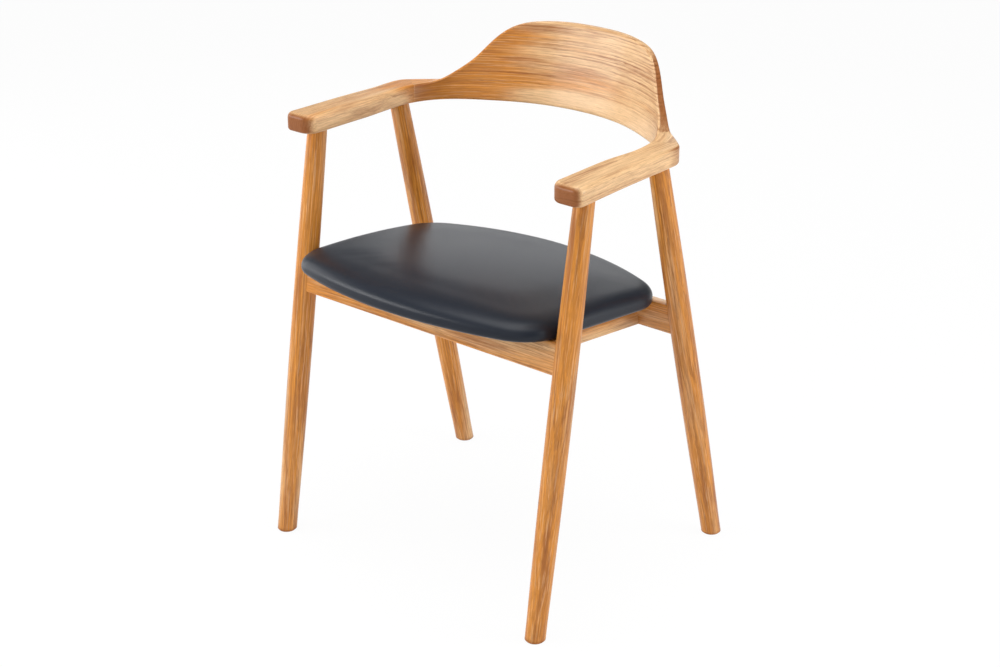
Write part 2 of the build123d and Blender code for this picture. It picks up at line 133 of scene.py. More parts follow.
def inward(points, closed=False):
    """Unit vectors square to a plan line, to its left as it is travelled."""
    if closed:
        run = np.roll(points, -1, axis=0) - np.roll(points, 1, axis=0)
    else:
        run = np.gradient(points, axis=0)
    left = np.stack([-run[:, 1], run[:, 0]], axis=1)
    return left / np.linalg.norm(left, axis=1)[:, None]


def round_over(radius, steps=6):
    """A quarter circle as (distance in from the face, distance down from the top), from face to top."""
    angle = np.linspace(0, np.pi / 2, steps + 1)
    return radius * (1 - np.cos(angle)), radius * (1 - np.sin(angle))


def smooth_step(low, high, value):
    """0 below low, 1 above high, and three t squared minus two t cubed between them."""
    t = np.clip((value - low) / (high - low), 0, 1)
    return t * t * (3 - 2 * t)


def closed_skin(name, rings, crease=50.0):
    """A closed mesh from rings of equal length: each ring is joined to the next, and a flat face closes
    the first and the last. It is turned so that the sum of the corner triple products, its volume, is
    positive."""
    rings = np.asarray(rings, float)
    rows, columns, _ = rings.shape
    corner = np.arange(rows * columns).reshape(rows, columns)
    here, there = corner[:-1], corner[1:]
    quads = np.stack([here, np.roll(here, -1, 1), np.roll(there, -1, 1), there], axis=-1).reshape(-1, 4)
    points = rings.reshape(-1, 3)
    a, b, c, d = (points[quads[:, k]] - points.mean(axis=0) for k in range(4))
    volume = (np.cross(a, b) * c).sum() + (np.cross(a, c) * d).sum()
    faces = quads.tolist() + [corner[0][::-1].tolist(), corner[-1].tolist()]
    if volume < 0:
        faces = [face[::-1] for face in faces]
    mesh = bpy.data.meshes.new(name)
    mesh.from_pydata(points.tolist(), [], faces)
    mesh.validate()
    mesh.shade_smooth()
    mesh.set_sharp_from_angle(angle=np.radians(crease))
    piece = bpy.data.objects.new(name, mesh)
    bpy.context.scene.collection.objects.link(piece)
    return piece


def mesh_points(piece):
    """The places of a piece's vertices, as an array of rows."""
    flat = np.empty(len(piece.data.vertices) * 3, np.float32)
    piece.data.vertices.foreach_get("co", flat)
    return flat.reshape(-1, 3).astype(float)


def mesh_normals(piece):
    """The directions that a piece's vertices face, as an array of rows."""
    flat = np.empty(len(piece.data.vertices) * 3, np.float32)
    piece.data.vertex_normals.foreach_get("vector", flat)
    return flat.reshape(-1, 3).astype(float)


def straight_grain(piece, along, pith, across):
    """The place of each vertex in a straight trunk: the distance along it, then two distances from the
    pith."""
    along = np.asarray(along, float) / np.linalg.norm(along)
    across = np.asarray(across, float) - along * (np.asarray(across, float) @ along)
    across /= np.linalg.norm(across)
    away = mesh_points(piece) - np.asarray(pith, float)
    return np.stack([away @ along, away @ across, away @ np.cross(along, across)], axis=1)


def give_grain(piece, place, end_grain, heart=None, calm=None):
    """Stores how each vertex was cut from its tree: the attribute grain is its place in the trunk, and the
    next attributes are how squarely its face cuts the fibres, with painted shade on the back's faces turned
    up, how warm the wood is, partly painted shade toward the left of the back, and calm, how far its figure
    fades."""
    piece.data.attributes.new("grain", "FLOAT_VECTOR", "POINT").data.foreach_set("vector", place.ravel())
    plain = np.zeros(len(place))
    for name, value in (("end_grain", end_grain), ("heart", heart), ("calm", calm)):
        made = piece.data.attributes.new(name, "FLOAT", "POINT")
        made.data.foreach_set("value", plain if value is None else value)


def joint_ends_and_shade(points, normals):
    """How squarely the faces of the arms and the back cut their fibres. It passes smoothly from the arm's
    grain, along Y, to six tenths of the back's, along X, on the way from the rear leg to the joint. The
    back's
    share grows on faces turned up: painted shade on them."""
    share = smooth_step(0.020, 0.085, points[:, 1])
    back = np.abs(normals[:, 0]) * (0.6 + 0.7 * np.clip(normals[:, 2], 0, 1))
    return np.abs(normals[:, 1]) * (1 - share) + back * share


def joint_heart_and_shade(points):
    """How warm the wood of the back and of the arms beside it is: rising from right to left, partly the
    board's own tone and partly painted shade on the left part of the back, and paler along the back's lower
    edge."""
    left = smooth_step(-0.05, -0.22, points[:, 0]) * smooth_step(0.02, 0.11, points[:, 1])
    return left - 0.35 * back_calm(points)


def back_calm(points):
    """How far the figure of the back fades along its lower edge, away from the left end."""
    return smooth_step(0.032, 0.018, points[:, 2] - ARM_LOW) * smooth_step(-0.20, -0.02, points[:, 0])


def finish_piece(piece, material, slot, *nodes):
    """Gives a piece its material, lets it ride on the chair, and hides the nodes that it stands in for."""
    piece.data.materials.append(material)
    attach(piece, "root")
    if nodes:
        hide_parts(*nodes)


# ---- materials ---------------------------------------------------------------------------------------


class Shader:
    """A material's node tree with short calls for the few kinds of node used here."""

    def __init__(self, name):
        self.material = bpy.data.materials.new(name)
        self.material.use_nodes = True
        self.tree = self.material.node_tree
        self.surface = self.tree.nodes["Principled BSDF"]

    def node(self, kind, settings=(), **inputs):
        """A node with its settings, and with its inputs given by name or, as i0, i1 and so on, by number.
        An input is a number, a colour or a socket."""
        made = self.tree.nodes.new("ShaderNode" + kind)
        for key, value in dict(settings).items():
            setattr(made, key, value)
        for key, value in inputs.items():
            numbered = key[1:].isdigit()
            self.feed(made.inputs[int(key[1:]) if numbered else key.replace("_", " ")], value)
        return made

    def feed(self, socket, value):
        """Sets a socket to a value, or joins another socket to it."""
        if isinstance(value, bpy.types.NodeSocket):
            self.tree.links.new(value, socket)
        else:
            socket.default_value = value

    def math(self, operation, first, second=0.0):
        """One operation on two numbers."""
        return self.node("Math", {"operation": operation}, i0=first, i1=second).outputs[0]

    def times(self, first, second):
        """The product of two numbers."""
        return self.math("MULTIPLY", first, second)

    def plus(self, first, second):
        """The sum of two numbers."""
        return self.math("ADD", first, second)

    def stretched(self, vector, scale):
        """A vector multiplied part by part."""
        return self.node("VectorMath", {"operation": "MULTIPLY"}, i0=vector, i1=scale).outputs[0]

    def noise(self, vector, scale, detail=2.0, roughness=0.5):
        """Noise between 0 and 1 on a stretched vector."""
        return self.node("TexNoise", Vector=self.stretched(vector, scale), Scale=1.0, Detail=detail,
                         Roughness=roughness).outputs["Fac"]

    def drift(self, vector, scale, reach):
        """A vector that drifts over a stretched vector, between minus and plus half of its reach."""
        made = self.node("TexNoise", Vector=self.stretched(vector, scale), Scale=1.0, Detail=1.0)
        centred = self.node("VectorMath", {"operation": "SUBTRACT"}, i0=made.outputs["Color"],
                            i1=(0.5, 0.5, 0.5)).outputs[0]
        return self.stretched(centred, reach)

    def ramp(self, value, stops, interpolation="EASE"):
        """A number turned into grey by a list of (position, grey)."""
        made = self.node("ValToRGB", Fac=value)
        line = made.color_ramp
        line.interpolation = interpolation
        while len(line.elements) < len(stops):
            line.elements.new(0.5)
        for element, (position, grey) in zip(line.elements, stops, strict=True):
            element.position = position
            element.color = (grey, grey, grey, 1)
        return made.outputs["Color"]

    def mix(self, factor, first, second, blend="MIX"):
        """Two colours mixed by a factor."""
        made = self.node("Mix", {"data_type": "RGBA", "blend_type": blend}, i0=factor)
        self.feed(made.inputs[6], first)
        self.feed(made.inputs[7], second)
        return made.outputs[2]

    def bump(self, height, distance, strength=1.0):
        """A bump whose height of 1 stands for a distance in metres."""
        return self.node("Bump", Height=height, Distance=distance, Strength=strength).outputs["Normal"]

    def attribute(self, name, output="Fac"):
        """What give_grain stored under a name."""
        return self.node("Attribute", {"attribute_name": name}).outputs[output]

    def place(self):
        """The place on the object."""
        return self.node("TexCoord").outputs["Object"]

    def finish(self, **inputs):
        """Sets the surface's inputs by name, and gives back the material."""
        for key, value in inputs.items():
            self.feed(self.surface.inputs[key.replace("_", " ")], value)
        return self.material


def rgba(colour):
    """A colour with its alpha."""
    return (*colour, 1.0)


# How the pith strays: changes per metre along the trunk and across it, and the reach in metres
PITH_DRIFTS = ((2.6, 5, 0.016), (9, 50, 0.0050), (34, 230, 0.0022), (90, 600, 0.0014))
OAK_PORE_DEPTH = 0.00012
LEATHER_PEBBLE_DEPTH = 0.00005
SAW_MARK_DEPTH = FELT_DEPTH = 0.0002


def make_oak(name, wood, spacing, figure=1.0, flame=0.5, warmth=0.5):
    """Lacquered oak that follows the attributes of give_grain. The pith wanders slowly along the trunk,
    and the distance from it, divided by the ring spacing, counts the years. Each year starts with a dark
    porous band of its own strength, ragged and broken along its length; strands, fibres, short pores and
    broad flames lie along the grain."""
    shader = Shader(name)
    place = shader.attribute("grain", "Vector")
    ends, heart, calm = (shader.attribute(kind) for kind in ("end_grain", "heart", "calm"))
    trunk = shader.stretched(place, (0, 1, 1))
    for along, across, reach in PITH_DRIFTS:
        shift = shader.drift(place, (along, across, across), (0, reach, reach))
        trunk = shader.node("VectorMath", {"operation": "ADD"}, i0=trunk, i1=shift).outputs[0]
    radius = shader.node("VectorMath", {"operation": "LENGTH"}, i0=trunk).outputs["Value"]
    year = shader.math("DIVIDE", radius, spacing)
    season = shader.math("FRACT", year)
    vigour = shader.node("TexWhiteNoise", {"noise_dimensions": "1D"}, W=shader.math("FLOOR", year))
    vigour = shader.plus(0.25, shader.times(vigour.outputs["Value"], 0.9))
    early = shader.ramp(season, [(0.0, 0.0), (0.10, 0.95), (0.30, 0.80), (0.62, 0.18), (1.0, 0.0)])
    early = shader.times(early, vigour)
    patch = shader.ramp(shader.noise(place, (4.0, 60, 60), 3.0, 0.6), [(0.36, 0.15), (0.60, 1.0)])
    shown = shader.math("SUBTRACT", 1.0, shader.times(calm, 0.85))
    early = shader.times(shader.times(early, patch), shown)
    strand = shader.ramp(shader.noise(place, (8, 360, 360), 3.0, 0.65), [(0.44, 0.0), (0.64, 1.0)])
    strand = shader.times(strand, shown)
    # Pale strands along the grain, coloured as if they shine: a painted sheen
    pale_strand_sheen = shader.ramp(shader.noise(place, (11, 420, 420), 3.0, 0.65), [(0.50, 0.0), (0.68, 1.0)])
    fibre = shader.noise(place, (30, 1100, 1100), 3.0, 0.7)
    # The tone turns warmer with the stored warmth, which is partly painted shade on the left of the back
    tone = shader.plus(shader.noise(place, (1.8, 20, 20), 3.0, 0.6), shader.times(heart, 0.35))
    tone = shader.ramp(tone, [(0.66 - warmth * 0.5, 0.0), (0.92 - warmth * 0.5, 1.0)])
    dashes = shader.ramp(shader.noise(place, (62, 1500, 1500), 2.0), [(0.54, 0.0), (0.68, 1.0)])
    pores = shader.times(dashes, shader.plus(shader.times(early, 0.7), 0.3))
    blaze = shader.ramp(shader.noise(place, (6, 68, 68), 4.0, 0.65), [(0.47, 0.0), (0.68, 1.0)])
    blaze = shader.times(shader.times(blaze, shown), flame)

    colour = shader.mix(tone, rgba(wood.pale), rgba(wood.warm))
    colour = shader.mix(blaze, colour, rgba(wood.flame))
    colour = shader.mix(shader.times(early, 0.70 * figure), colour, rgba(wood.early))
    colour = shader.mix(shader.times(strand, 0.34 * figure), colour, rgba(wood.early))
    colour = shader.mix(shader.times(pale_strand_sheen, 0.30), colour, rgba(wood.pale_strand_sheen))
    shade = shader.ramp(fibre, [(0.25, 0.72), (0.75, 1.22)], "LINEAR")
    colour = shader.mix(1.0, colour, shade, "MULTIPLY")
    colour = shader.mix(shader.times(pores, 0.55), colour, rgba(wood.pore))
    # Where end grain shows, the wood turns to the end colour; on the back this mask also carries painted
    # shade on faces turned up
    cut = shader.ramp(ends, [(0.30, 0.0), (0.88, 1.0)])
    end_colour = shader.mix(shader.times(early, 0.4), rgba(wood.end), rgba(wood.pore))
    colour = shader.mix(shader.times(cut, 0.92), colour, end_colour)
    rough = shader.plus(wood.roughness, shader.times(pores, 0.25))
    rough = shader.plus(rough, shader.times(cut, 0.20))
    height = shader.math("SUBTRACT", shader.times(fibre, 0.3), pores)
    return shader.finish(Base_Color=colour, Roughness=rough, Specular_IOR_Level=wood.gloss,
                         Coat_Weight=wood.lacquer, Coat_Roughness=wood.lacquer_roughness,
                         Normal=shader.bump(height, OAK_PORE_DEPTH, 0.6))


def make_leather(name, seat):
    """Satin leather on object coordinates: pebbles one to two millimetres wide between fine creases, and
    slow cloudy changes of gloss and tone."""
    shader = Shader(name)
    place = shader.place()
    drift = shader.node("TexNoise", Vector=place, Scale=220.0, Detail=1.0).outputs["Color"]
    bent = shader.node("VectorMath", {"operation": "MULTIPLY_ADD"}, i0=drift, i1=(0.0008, 0.0008, 0.0008),
                       i2=place).outputs[0]
    pebbles = shader.node("TexVoronoi", {"feature": "DISTANCE_TO_EDGE"}, Vector=bent, Scale=620.0)
    pebble = shader.ramp(pebbles.outputs["Distance"], [(0.0, 0.0), (0.16, 1.0)])
    cloud = shader.noise(place, (9, 9, 9), 3.0)
    grain = shader.noise(place, (420, 420, 420), 3.0, 0.6)
    tone = shader.ramp(cloud, [(0.3, 0.0), (0.7, 1.0)])
    colour = shader.mix(tone, rgba(seat.leather_dark), rgba(seat.leather_pale))
    # Painted shade darkens the creases between the pebbles
    colour = shader.mix(shader.times(shader.math("SUBTRACT", 1.0, pebble), 0.35), colour,
                        rgba(seat.leather_crease_shade))
    rough = shader.plus(seat.leather_roughness, shader.times(cloud, 0.06))
    height = shader.plus(pebble, shader.times(grain, 0.8))
    return shader.finish(Base_Color=colour, Specular_IOR_Level=seat.leather_gloss, Roughness=rough,
                         Normal=shader.bump(height, LEATHER_PEBBLE_DEPTH, 0.6))


def make_plain_wood(name, colour):
    """Unfinished wood on object coordinates: long soft streaks across X and fine saw marks."""
    shader = Shader(name)
    place = shader.place()
    streak = shader.noise(place, (14, 160, 160), 3.0, 0.6)
    shade = shader.ramp(streak, [(0.3, 0.80), (0.7, 1.08)], "LINEAR")
    return shader.finish(Base_Color=shader.mix(1.0, rgba(colour), shade, "MULTIPLY"), Roughness=0.62,
                         Normal=shader.bump(streak, SAW_MARK_DEPTH, 0.5))


def make_metal(name, colour, roughness):
    """Plated steel with fine uneven gloss."""
    shader = Shader(name)
    place = shader.place()
    haze = shader.noise(place, (900, 900, 900), 2.0)
    dull = [part * 0.8 for part in colour]
    return shader.finish(Metallic=1.0, Base_Color=shader.mix(haze, rgba(colour), rgba(dull)),
                         Roughness=shader.plus(roughness, shader.times(haze, 0.15)))


def make_cloth(name, colour):
    """Thin matted cloth on object coordinates: short crossing fibres pressed flat."""
    shader = Shader(name)
    place = shader.place()
    one = shader.noise(place, (1500, 260, 300), 2.0)
    other = shader.noise(place, (260, 1500, 300), 2.0)
    felt = shader.times(one, other)
    shade = shader.ramp(felt, [(0.15, 0.6), (0.40, 1.5)], "LINEAR")
    return shader.finish(Base_Color=shader.mix(1.0, rgba(colour), shade, "MULTIPLY"), Roughness=0.9,
                         Normal=shader.bump(felt, FELT_DEPTH, 0.6))


def make_foam(name, colour):
    """Open foam on object coordinates: cells of about a millimetre."""
    shader = Shader(name)
    place = shader.place()
    cells = shader.node("TexVoronoi", Vector=place, Scale=700.0).outputs["Distance"]
    shade = shader.ramp(cells, [(0.1, 0.75), (0.6, 1.05)], "LINEAR")
    return shader.finish(Base_Color=shader.mix(1.0, rgba(colour), shade, "MULTIPLY"), Roughness=0.95)


# ---- settings ----------------------------------------------------------------------------------------


def colour_of(name, description, default):
    """A colour setting."""
    return FloatVectorProperty(name=name, description=description, default=default, size=3, min=0, max=1,
                               subtype="COLOR")


def length_of(name, description, default):
    """A length setting, in metres."""
    return FloatProperty(name=name, description=description, default=default, unit="LENGTH", precision=4)


def share_of(name, description, default):
    """A setting between 0 and 1."""
    return FloatProperty(name=name, description=description, default=default, min=0, max=1,
                         subtype="FACTOR")


def power_of(name, description, default):
    """The power of a lamp, in watts."""
    return FloatProperty(name=name, description=description, default=default, unit="POWER")


class ARMCHAIR_PG_wood(PropertyGroup):
    """Colours and figure of the oak."""
    pale: colour_of("Pale wood", "Late wood in the paler parts of a board", (0.740, 0.480, 0.250))
    warm: colour_of("Warm wood", "Late wood in the warmer parts of a board", (0.620, 0.240, 0.035))
    # Colour of the pale strands along the grain, a painted sheen
    pale_strand_sheen: colour_of("Gleaming strands", "Pale shining strands along the grain", (0.860, 0.580, 0.320))
    early: colour_of("Early wood", "The porous line of each growth ring", (0.280, 0.092, 0.020))
    flame: colour_of("Flames", "Dark patches between the rings", (0.310, 0.095, 0.022))
    pore: colour_of("Pores", "Inside the pores", (0.090, 0.028, 0.006))
    end: colour_of("End grain", "Faces that cut the fibres", (0.220, 0.056, 0.004))
    spacing: length_of("Ring spacing", "Width of one growth ring", 0.0040)
    roughness: share_of("Roughness", "Roughness of the wood under the lacquer", 0.38)
    gloss: share_of("Gloss", "Strength of the reflection of the wood itself", 0.12)
    lacquer: share_of("Lacquer", "Share of clear lacquer over the wood", 0.36)
    lacquer_roughness: share_of("Lacquer roughness", "Roughness of the clear lacquer", 0.24)


class ARMCHAIR_PG_frame(PropertyGroup):
    """Sizes of the arms, the back and the legs."""
    leg_foot: length_of("Leg radius at the foot", "Radius of a leg on the floor", 0.0150)
    leg_belly: length_of("Leg radius at its thickest", "Radius of a leg a little below its middle", 0.0172)
    leg_top: length_of("Leg radius at the arm", "Radius of a leg above the underside of the arm", 0.0140)
    arm_round: length_of("Round-over of the arm", "Radius of the arm's upper edges in front", 0.0085)
    joint_round: length_of("Round-over at the joint", "Radius of the back's edges and beside them", 0.0045)
    rail_round: length_of("Round-over of the rails", "Radius of the rails' long edges", 0.0020)
    arm_droop: length_of("Droop of the arm", "How far the front end of an arm lies below its level", 0.0015)
    back_low: length_of("Back thickness below", "Thickness of the back along its lower edge", 0.0190)
    back_high: length_of("Back thickness above", "Thickness of the back along its top edge", 0.0120)


class ARMCHAIR_PG_seat(PropertyGroup):
    """Shape and leather of the seat."""
    crown: length_of("Crown", "From the seat's underside to the top of its crown", 0.0430)
    upper_roll: length_of("Upper roll", "Height of the roll round the top", 0.016)
    front_roll: length_of("Front roll", "Height of the roll round the top at the front", 0.021)
    roll_width: length_of("Roll width", "Width of the roll round the top at the front", 0.060)
    rear_roll: length_of("Rear roll width", "Width of the roll round the top at the rear", 0.030)
    lower_roll: length_of("Lower roll", "Radius of the roll round the underside", 0.0075)
    start_inset: length_of("Start inset", "How much smaller the pad is before it swells", 0.0004)
    travel: length_of("Travel", "Furthest that a point of the pad may swell", 0.003)
    tucks: share_of("Tucks", "Share of the small wrinkles that stays", 0.05)
    voxel: length_of("Voxel", "Size of the faces of the copy of the pad that is simulated", 0.005)
    pressure: FloatProperty(name="Pressure", description="Pressure that fills the leather", default=4.0)
    frames: IntProperty(name="Frames", description="Steps that the leather is given to settle", default=20)
    leather_dark: colour_of("Dark leather", "Leather in its darker clouds", (0.0098, 0.0134, 0.0215))
    leather_pale: colour_of("Pale leather", "Leather in its paler clouds", (0.0125, 0.0165, 0.0260))
    # Darker colour between the pebbles: painted shade in the creases
    leather_crease_shade: colour_of("Creases", "Between the pebbles of the leather", (0.006, 0.008, 0.012))
    leather_roughness: share_of("Roughness", "Roughness of the leather", 0.31)
    leather_gloss: share_of("Gloss", "Strength of the leather's reflection", 0.25)


class ARMCHAIR_PG_studio(PropertyGroup):
    """Camera and lamps."""
    lens: FloatProperty(name="Lens", description="Focal length of the camera", default=69.84,
                        unit="CAMERA")
    left_power: power_of("Left lamp", "Power of the lamp ahead on the left", 49.0)
    side_power: power_of("Side lamp", "Power of the lamp beside on the left", 15.0)
    right_power: power_of("Right lamp", "Power of the lamp behind on the right", 40.0)
    back_power: power_of("Back lamp", "Power of the lamp behind on the left", 4.1)
    front_power: power_of("Front lamp", "Power of the lamp ahead on the right", 19.0)
    top_power: power_of("Top lamp", "Power of the lamp above", 44.0)
    fill: FloatProperty(name="Fill", description="Strength of the light from all round", default=0.32)
    horizon: FloatProperty(name="Horizon", description="Share of the fill near the horizon", default=0.55)
    wall: FloatProperty(name="Wall", description="Share of the fill from lower down", default=0.90)
    ceiling: share_of("Ceiling", "Share of the fill from higher up, all round", 0.50)
    zenith: FloatProperty(name="Zenith", description="Share of the fill from straight above", default=3.125)


# ---- legs --------------------------------------------------------------------------------------------

# Each leg's way from its axis to the pith, as an angle, and how far the grain leans off the axis
LEG_GRAIN = {"front_left": (3.4, 0.010), "front_right": (2.1, 0.035), "rear_left": (1.2, 0.012),
             "rear_right": (2.9, 0.016)}
PITH_AWAY = 0.040
# Where the right legs' axes meet the underside of the arm, in plan
LEG_TOPS = {"front": (0.2515, -0.1105), "rear": (0.2470, 0.0595)}
BELLY_SHARE = 0.48
FOOT_ROUND = 0.002


def leg_axis(end, side):
    """Where a leg's axis meets the floor and the underside of the arm."""
    name = f"foot_{end}_{'left' if side < 0 else 'right'}"
    foot = next(mount["pos_m"] for mount in frame["record"]["mounts"] if mount["name"] == name)
    x, y = LEG_TOPS[end]
    return np.array(foot, float), np.array([side * x, y, ARM_LOW])


def leg_rings(end, side, sizes, rise=0.006, around=72, rows=56):
    """Level sections of a turned leg. The radius is constant over the lowest bit and then the parabola
    through the foot, the thickest place and the top; each point lies where the round section, square to
    the axis and slid along it, reaches the wanted height."""
    foot, top = leg_axis(end, side)
    axis = (top - foot) / np.linalg.norm(top - foot)
    across = np.cross((0, 1, 0), axis)
    across /= np.linalg.norm(across)
    away = np.cross(axis, across)
    angle = np.linspace(0, 2 * np.pi, around, endpoint=False)
    radial = np.cos(angle)[:, None] * across + np.sin(angle)[:, None] * away
    length = np.linalg.norm(top - foot)
    marks = np.array([2 * sizes.leg_foot, length * BELLY_SHARE, length + 2 * sizes.leg_foot])
    curve = np.polyfit(marks, [sizes.leg_foot, sizes.leg_belly, sizes.leg_top], 2)
    inset, up = round_over(FOOT_ROUND, 5)
    heights = np.concatenate([up[0] - up, np.linspace(FOOT_ROUND, top[2] + rise, rows)[1:]])
    insets = np.concatenate([FOOT_ROUND - inset, np.zeros(rows - 1)])
    radius = np.where(heights < marks[0], sizes.leg_foot, np.polyval(curve, heights / axis[2])) - insets
    slide = (heights[:, None] - radius[:, None] * radial[None, :, 2]) / axis[2]
    return foot + axis * slide[..., None] + radial[None] * radius[:, None, None]


class ARMCHAIR_OT_legs(Operator):
    """Four splayed, turned legs of solid oak"""
    bl_idname = "armchair.legs"
    bl_label = "Legs"

    def execute(self, context):
        sizes, wood = context.scene.armchair_frame, context.scene.armchair_wood
        oak = make_oak("leg_oak", wood, wood.spacing * 0.95, figure=1.05, flame=0.75, warmth=0.78)
        for end in ENDS:
            for name, side in SIDES.items():
                node = f"{end}_leg_{name}"
                piece = closed_skin(f"turned_{node}", leg_rings(end, side, sizes))
                foot, top = leg_axis(end, side)
                turn, lean = LEG_GRAIN[f"{end}_{name}"]
                away = np.array([np.cos(turn), np.sin(turn), 0])
                middle = (foot + top) / 2
                along = (top - foot) / np.linalg.norm(top - foot)
                pith = middle + PITH_AWAY * away - along * (1 + turn)
                place = straight_grain(piece, along + lean * away, pith, away)
                give_grain(piece, place, np.abs(mesh_normals(piece) @ along))
                finish_piece(piece, oak, "oak_legs", node)
        return {"FINISHED"}


# ---- arms --------------------------------------------------------------------------------------------


# The right arm in plan: distances from the middle plane of the chair, and the radii of its corners
ARM_INNER, ARM_OUTER, ARM_OUTER_REAR = 0.2220, 0.2765, 0.2675
ARM_TOE = 0.0025
INNER_SWELL, SWELL_Y, SWELL_END_Y = 0.0045, 0.039, -0.046
END_INNER_RADIUS, END_OUTER_RADIUS, REAR_CORNER_RADIUS = 0.020, 0.012, 0.030
# How far the arm reaches into the back at the joint, and how far inside the back's faces it stays there
JOINT_TUCK, JOINT_INSET = 0.0004, 0.0002


def arm_outline(count=220):
    """The right arm in plan, from the joint's inner corner round the front end to its outer corner: a
    swelling inner face that opens a little toward the front, a front end with round corners, a tapering
    outer face and a round corner behind the leg."""
    front_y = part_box("armrest_right")[0][1]
    swell_end = np.array([ARM_INNER, SWELL_END_Y])
    front_inner, front_outer = np.array([ARM_INNER + ARM_TOE, front_y]), np.array([ARM_OUTER, front_y])
    arrive = (front_inner - swell_end) / np.linalg.norm(front_inner - swell_end)
    swell = smooth_curve([JOINT_INNER, (ARM_INNER + INNER_SWELL, SWELL_Y), swell_end],
                         (np.sin(INNER_TURN), -np.cos(INNER_TURN)), arrive, 60)
    beside = JOINT_OUTER[1] - (ARM_OUTER_REAR - JOINT_OUTER[0]) / np.tan(OUTER_TURN)
    rear = np.array([ARM_OUTER_REAR, beside])
    line = np.vstack([swell, corner_arc(swell[-1], front_inner, front_outer, END_INNER_RADIUS, 24),
                      corner_arc(front_inner, front_outer, rear, END_OUTER_RADIUS, 24),
                      corner_arc(front_outer, rear, JOINT_OUTER, REAR_CORNER_RADIUS, 24),
                      JOINT_OUTER[None]])
    tuck = JOINT_TUCK * np.array([-JOINT_ALONG[1], JOINT_ALONG[0]])
    return np.vstack([JOINT_INNER + tuck + JOINT_INSET * JOINT_ALONG, evenly(line, count),
                      JOINT_OUTER + tuck - JOINT_INSET * JOINT_ALONG])


def arm_rings(sizes):
    """Sections of the right arm, from the underside to the top. Each is the outline moved inward, which
    is nothing at the sides and follows a quarter circle to the underside and the top. The upper circle is
    wider toward the front. Beside the joint the outline moves along the joint, so that arm and back meet
    in one plane."""
    outline = arm_outline()
    run = np.linspace(0, 1, len(outline))
    blend = smooth_step(0.0, 0.05, run) * smooth_step(0.0, 0.05, 1 - run)
    ends = np.where(run[:, None] < 0.5, JOINT_ALONG, -JOINT_ALONG)
    inner = inward(outline) * blend[:, None] + ends * (1 - blend[:, None])
    inner /= np.linalg.norm(inner, axis=1)[:, None]
    forward = smooth_step(0.065, 0.015, outline[:, 1])
    wider = sizes.joint_round + (sizes.arm_round - sizes.joint_round) * forward
    angle = np.linspace(0, np.pi / 2, 8)[:, None]

    def turned(radius):
        """The outline along a quarter circle, as places in plan and distances from the level face."""
        inset, down = radius * (1 - np.cos(angle)), radius * (1 - np.sin(angle))
        inset = np.concatenate([inset, inset[-1:] + 0.0015])
        return outline[None] + inner[None] * inset[..., None], np.concatenate([down, down[-1:]])[..., None]

    high, down = turned(wider)
    low, up = turned(np.full(len(outline), sizes.joint_round))
    top = np.concatenate([high, ARM_TOP - down], axis=-1)
    bottom = np.concatenate([low, ARM_LOW + up], axis=-1)[::-1]
    middle = top[:1] * np.array([1, 1, 0]) + (0, 0, (ARM_LOW + ARM_TOP) / 2)
    return np.concatenate([bottom, middle, top])


# A place on each arm's pith
ARM_PITHS = {"left": (0.05, 3.2, 0.645), "right": (0.262, -2.1, 0.470)}


class ARMCHAIR_OT_arms(Operator):
    """Two flat arms with round front ends"""
    bl_idname = "armchair.arms"
    bl_label = "Arms"

    def execute(self, context):
        sizes, wood = context.scene.armchair_frame, context.scene.armchair_wood
        # The arms' oak is paler than the legs', partly a painted sheen on their tops
        oak = make_oak("arm_oak", wood, wood.spacing, figure=1.15, flame=0.55, warmth=0.44)
        rings = arm_rings(sizes)
        reach = smooth_step(-0.03, rings[..., 1].min(), rings[..., 1])
        rings[..., 2] -= sizes.arm_droop * reach
        for name, side in SIDES.items():
            piece = closed_skin(f"shaped_armrest_{name}", rings * (side, 1, 1))
            points = mesh_points(piece)
            ahead = smooth_step(0.09, 0.0, points[:, 1])
            give_grain(piece, straight_grain(piece, (0, 1, 0.012), ARM_PITHS[name], (0.3, 0, 1)),
                       joint_ends_and_shade(points, mesh_normals(piece)), joint_heart_and_shade(points) - 0.25 * ahead,
                       0.35 * ahead)
            finish_piece(piece, oak, "oak_arms", f"armrest_{name}")
        return {"FINISHED"}


# ---- back --------------------------------------------------------------------------------------------

# Points of the back's faces in plan, and of its top edge from the front, each as a share of the joint's
# distance from the middle plane and a share of the bow or of the rise
FRONT_CURVE = ((0.926, 0.282), (0.667, 0.651), (0.391, 0.886), (0.0, 1.0))
REAR_CURVE = ((0.837, 0.282), (0.661, 0.549), (0.389, 0.844), (0.0, 1.0))
SHOULDER_CURVE = ((0.926, 0.068), (0.886, 0.146), (0.795, 0.349), (0.700, 0.640), (0.587, 0.870),
                  (0.425, 0.967), (0.0, 1.0))
BACK_BOW = 0.1254
SHOULDER_X = JOINT_INNER[0] - 0.002
LEAN = np.tan(np.radians(15))


def back_line(joint, middle_y, curve, lean, turn, count):
    """Plan line of one face of the back at one height, from the right joint to the left one: the smooth
    curve through points at shares of the joint's distance and of the bow, moved rearward by the lean."""
    right = [joint]
    for number, (across, deep) in enumerate(curve):
        shift = lean * (0.8 if number == 0 else 1.0)
        right.append((joint[0] * across, joint[1] + (middle_y - joint[1]) * deep + shift))
    knots = right + [(-x, y) for x, y in reversed(right[:-1])]
    return smooth_curve(knots, (-np.sin(turn), np.cos(turn)), (-np.sin(turn), -np.cos(turn)), count)


